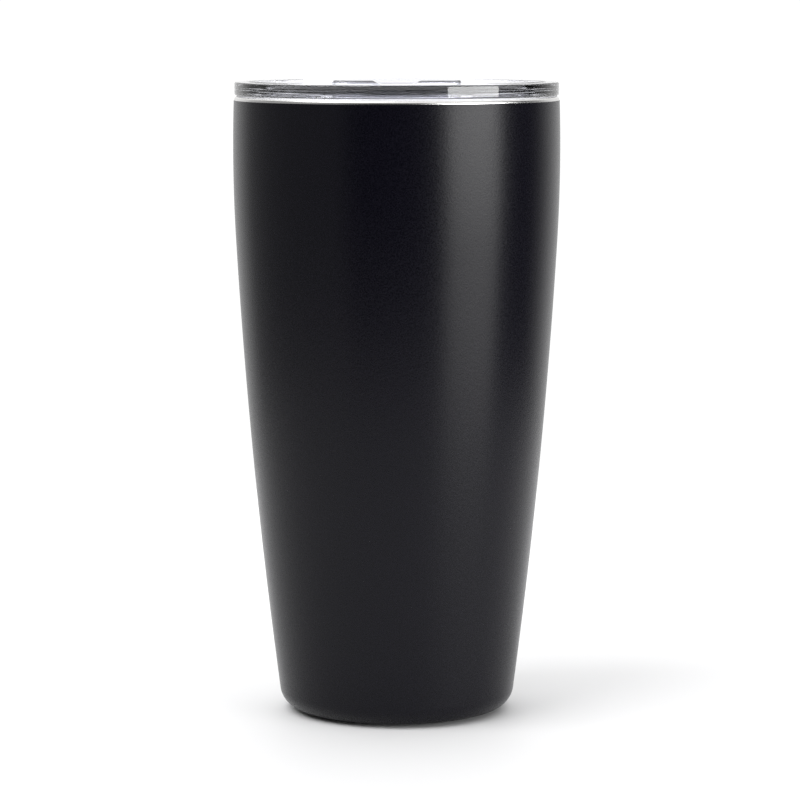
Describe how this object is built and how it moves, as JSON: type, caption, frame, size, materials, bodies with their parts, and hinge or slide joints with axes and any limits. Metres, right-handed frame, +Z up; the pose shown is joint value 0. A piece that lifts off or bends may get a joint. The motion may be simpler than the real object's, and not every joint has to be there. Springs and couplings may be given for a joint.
{
  "type": "insulated tumbler with lid",
  "caption": "Double-wall vacuum tumbler, tapered, dark powder-coated steel, with a clear press-in lid and a sliding drink closure.",
  "frame": {"origin": "centre of the face the tumbler stands on", "axes": "+Z up along the cup's axis, -Y towards the lid's drinking slot"},
  "size_m": [0.088, 0.088, 0.1711],
  "materials": {
    "powder_coat": "fine-grained satin powder coat",
    "steel": "brushed and electropolished stainless steel",
    "clear_plastic": "clear glossy copolyester",
    "clear_silicone": "translucent satin silicone",
    "black_silicone": "matte black silicone",
    "adhesive": "adhesive film",
    "copper_foil": "bright copper foil",
    "solder_glass": "fused solder glass",
    "getter": "pressed powder"
  },
  "bodies": {
    "cup": {"outer_wall": "powder_coat", "outer_base": "powder_coat", "glass_seal": "solder_glass", "getter_holder": "steel", "getter_pellet": "getter", "foot_pad": "black_silicone", "foot_pad_adhesive": "adhesive", "inner_wall": "steel", "inner_base": "steel", "radiation_foil": "copper_foil"},
    "gasket": {"lid_gasket": "clear_silicone"},
    "lid": {"lid_body": "clear_plastic"},
    "closure": {"slider": "clear_plastic", "slider_seal": "clear_silicone"}
  },
  "joints": [
    {"name": "lid_lift", "type": "slide", "parent": "cup", "child": "gasket", "axis": [0, 0, 1], "range_m": [0, 0.09]},
    {"name": "lid_turn", "type": "hinge", "parent": "gasket", "child": "lid", "pos_m": [0, 0, 0.16], "axis": [0, 0, 1], "continuous": true},
    {"name": "slider_shut", "type": "slide", "parent": "lid", "child": "closure", "axis": [0, -1, 0], "range_m": [0, 0.014]}
  ]
}
